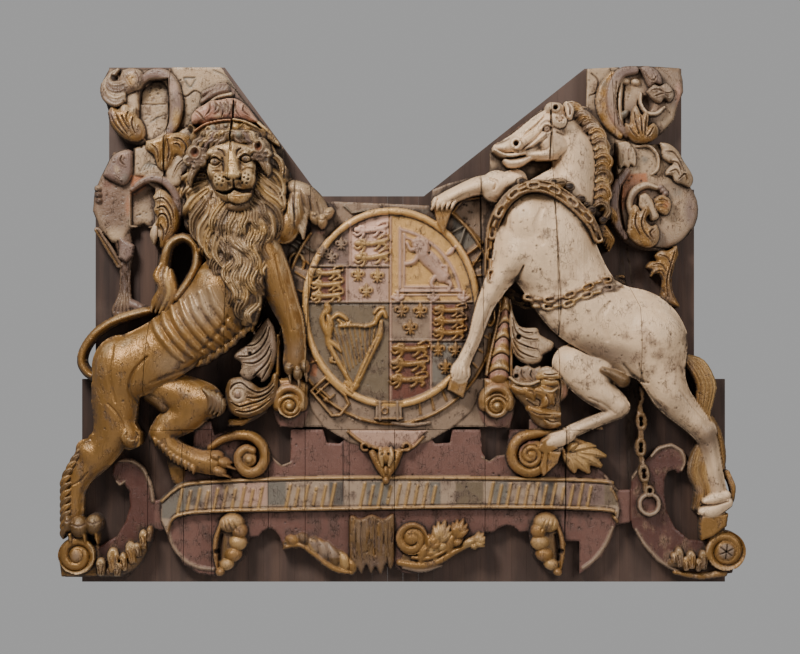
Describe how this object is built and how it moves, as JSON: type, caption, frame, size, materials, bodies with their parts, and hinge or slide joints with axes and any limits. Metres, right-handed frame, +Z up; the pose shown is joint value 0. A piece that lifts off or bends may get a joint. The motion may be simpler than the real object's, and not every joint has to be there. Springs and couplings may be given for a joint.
{
  "type": "ship stern carving",
  "caption": "Carved and gilded oak relief from a warship's stern: crowned lion and chained unicorn holding an oval coat of arms over a ribbon, on a board of planks.",
  "frame": {"origin": "hanging point on the flat back of the middle backing plank, 1.40 m above the bottom edge", "axes": "+Z up, +Y out of the back into the wall, +X to the viewer's right; the carving faces -Y"},
  "size_m": [3.6964, 0.4887, 2.78],
  "materials": {
    "board_wood": "dark stained upright planks, dull, with grain and scuffs",
    "gilding": "worn gilding over oak, brown in the hollows and rubbed bright on the high places",
    "white_paint": "old cream white paint with brown spots, chips and drying cracks, gilded mane, chains and hooves",
    "arms_paint": "worn rose, blue grey and gold paint over carved fields",
    "ground_paint": "worn dull red brown paint with gilded borders and scrolls"
  },
  "bodies": {
    "root": {"backing_plank_01": "board_wood", "backing_plank_02": "board_wood", "backing_plank_03": "board_wood", "backing_plank_04": "board_wood", "backing_plank_05": "board_wood", "backing_plank_06": "board_wood", "backing_plank_07": "board_wood", "backing_plank_08": "board_wood", "backing_plank_09": "board_wood", "backing_plank_10": "board_wood", "backing_plank_11": "board_wood", "backing_plank_12": "board_wood", "backing_plank_13": "board_wood", "backing_plank_14": "board_wood", "backing_plank_15": "board_wood", "backing_plank_16": "board_wood", "backing_plank_17": "board_wood", "backing_plank_18": "board_wood", "backing_plank_19": "board_wood", "backing_plank_20": "board_wood", "backing_plank_21": "board_wood", "backing_plank_22": "board_wood", "backing_plank_23": "board_wood", "backing_plank_24": "board_wood", "backing_plank_25": "board_wood", "backing_plank_26": "board_wood", "backing_plank_27": "board_wood", "backing_plank_28": "board_wood", "backing_plank_29": "board_wood", "backing_plank_30": "board_wood", "backing_plank_31": "board_wood", "backing_plank_32": "board_wood", "backing_plank_33": "board_wood", "backing_plank_34": "board_wood", "backing_plank_35": "board_wood", "backing_plank_36": "board_wood", "backing_plank_37": "board_wood", "backing_plank_38": "board_wood", "backing_plank_39": "board_wood", "backing_plank_40": "board_wood", "backing_plank_41": "board_wood", "backing_plank_42": "board_wood", "lion_haunch_timber": "gilding", "lion_body_timber": "gilding", "lion_chest_timber": "gilding", "left_shield_timber": "arms_paint", "right_shield_timber": "arms_paint", "unicorn_chest_timber": "white_paint", "unicorn_barrel_timber": "white_paint", "unicorn_rump_timber": "white_paint", "lower_course_timber_1": "ground_paint", "lower_course_timber_2": "ground_paint", "lower_course_timber_3": "ground_paint", "lower_course_timber_4": "ground_paint", "lower_course_timber_5": "ground_paint", "lower_course_timber_6": "ground_paint", "lower_course_timber_7": "ground_paint", "lower_course_timber_8": "ground_paint", "lower_course_timber_9": "ground_paint"}
  },
  "joints": []
}
